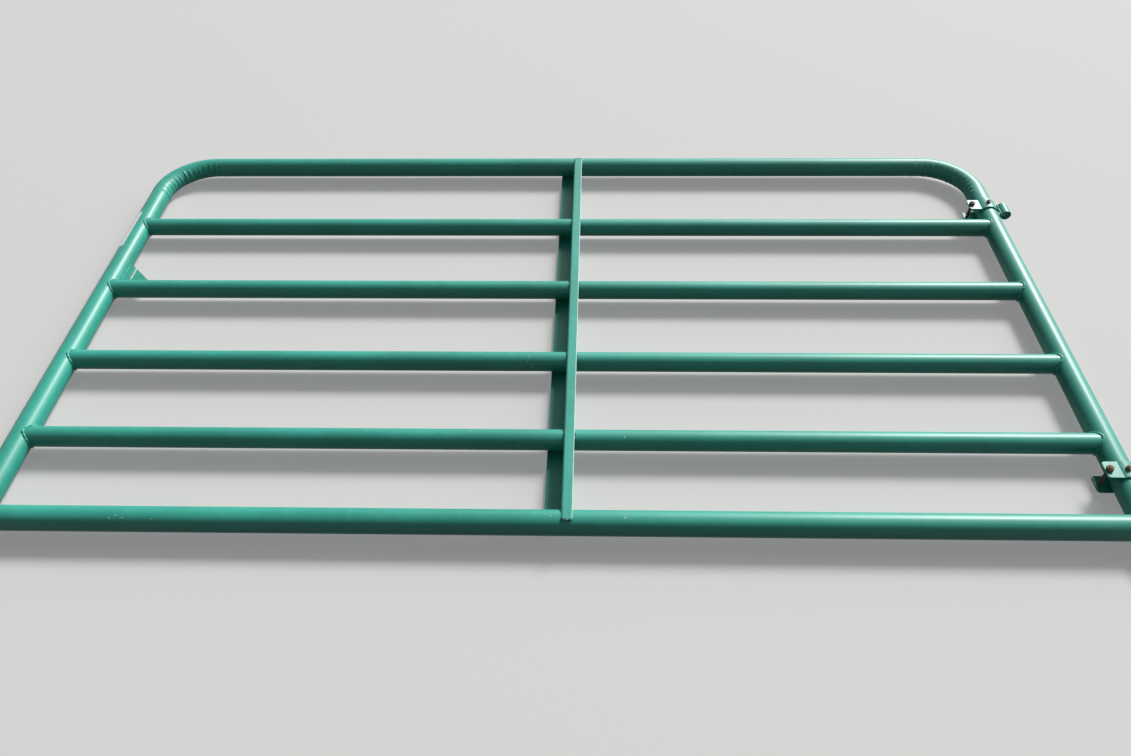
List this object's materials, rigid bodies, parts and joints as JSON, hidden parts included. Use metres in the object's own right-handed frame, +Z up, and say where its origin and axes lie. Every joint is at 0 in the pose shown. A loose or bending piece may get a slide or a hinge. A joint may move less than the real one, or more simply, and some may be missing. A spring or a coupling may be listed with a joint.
{
  "type": "tubular farm gate",
  "caption": "Painted tubular steel field gate lying flat: round frame with curved top corners, inner rails, folded centre brace, slotted chain plate and clamped hinge eyes.",
  "frame": {"origin": "bottom centre of the whole gate's bounding box, on the ground below the tubes' plane", "axes": "the gate lies flat: +X runs along the rails from the latch stile to the hinge stile, +Y from the bottom rail to the top rail, +Z up, square to the gate; turned +90 degrees about +X it stands upright with its top rail up"},
  "size_m": [2.358, 1.273, 0.0698],
  "materials": {
    "gate_paint": "gloss enamel",
    "bolt_steel": "rusted"
  },
  "bodies": {
    "root": {"outer_frame": "gate_paint", "bottom_rail": "gate_paint", "rail_2": "gate_paint", "rail_3": "gate_paint", "rail_4": "gate_paint", "rail_5": "gate_paint", "centre_brace": "gate_paint", "chain_plate": "gate_paint", "upper_front_strap": "gate_paint", "upper_back_strap": "gate_paint", "upper_eye": "gate_paint", "upper_clamp_bolt": "bolt_steel", "upper_clamp_nut": "bolt_steel", "upper_lock_bolt": "bolt_steel", "upper_lock_nut": "bolt_steel", "lower_front_strap": "gate_paint", "lower_back_strap": "gate_paint", "lower_eye": "gate_paint", "lower_clamp_bolt": "bolt_steel", "lower_clamp_nut": "bolt_steel", "lower_lock_bolt": "bolt_steel", "lower_lock_nut": "bolt_steel", "left_welds": "gate_paint", "right_welds": "gate_paint", "brace_welds": "gate_paint", "plate_welds": "gate_paint", "upper_eye_welds": "gate_paint", "lower_eye_welds": "gate_paint"}
  },
  "joints": []
}
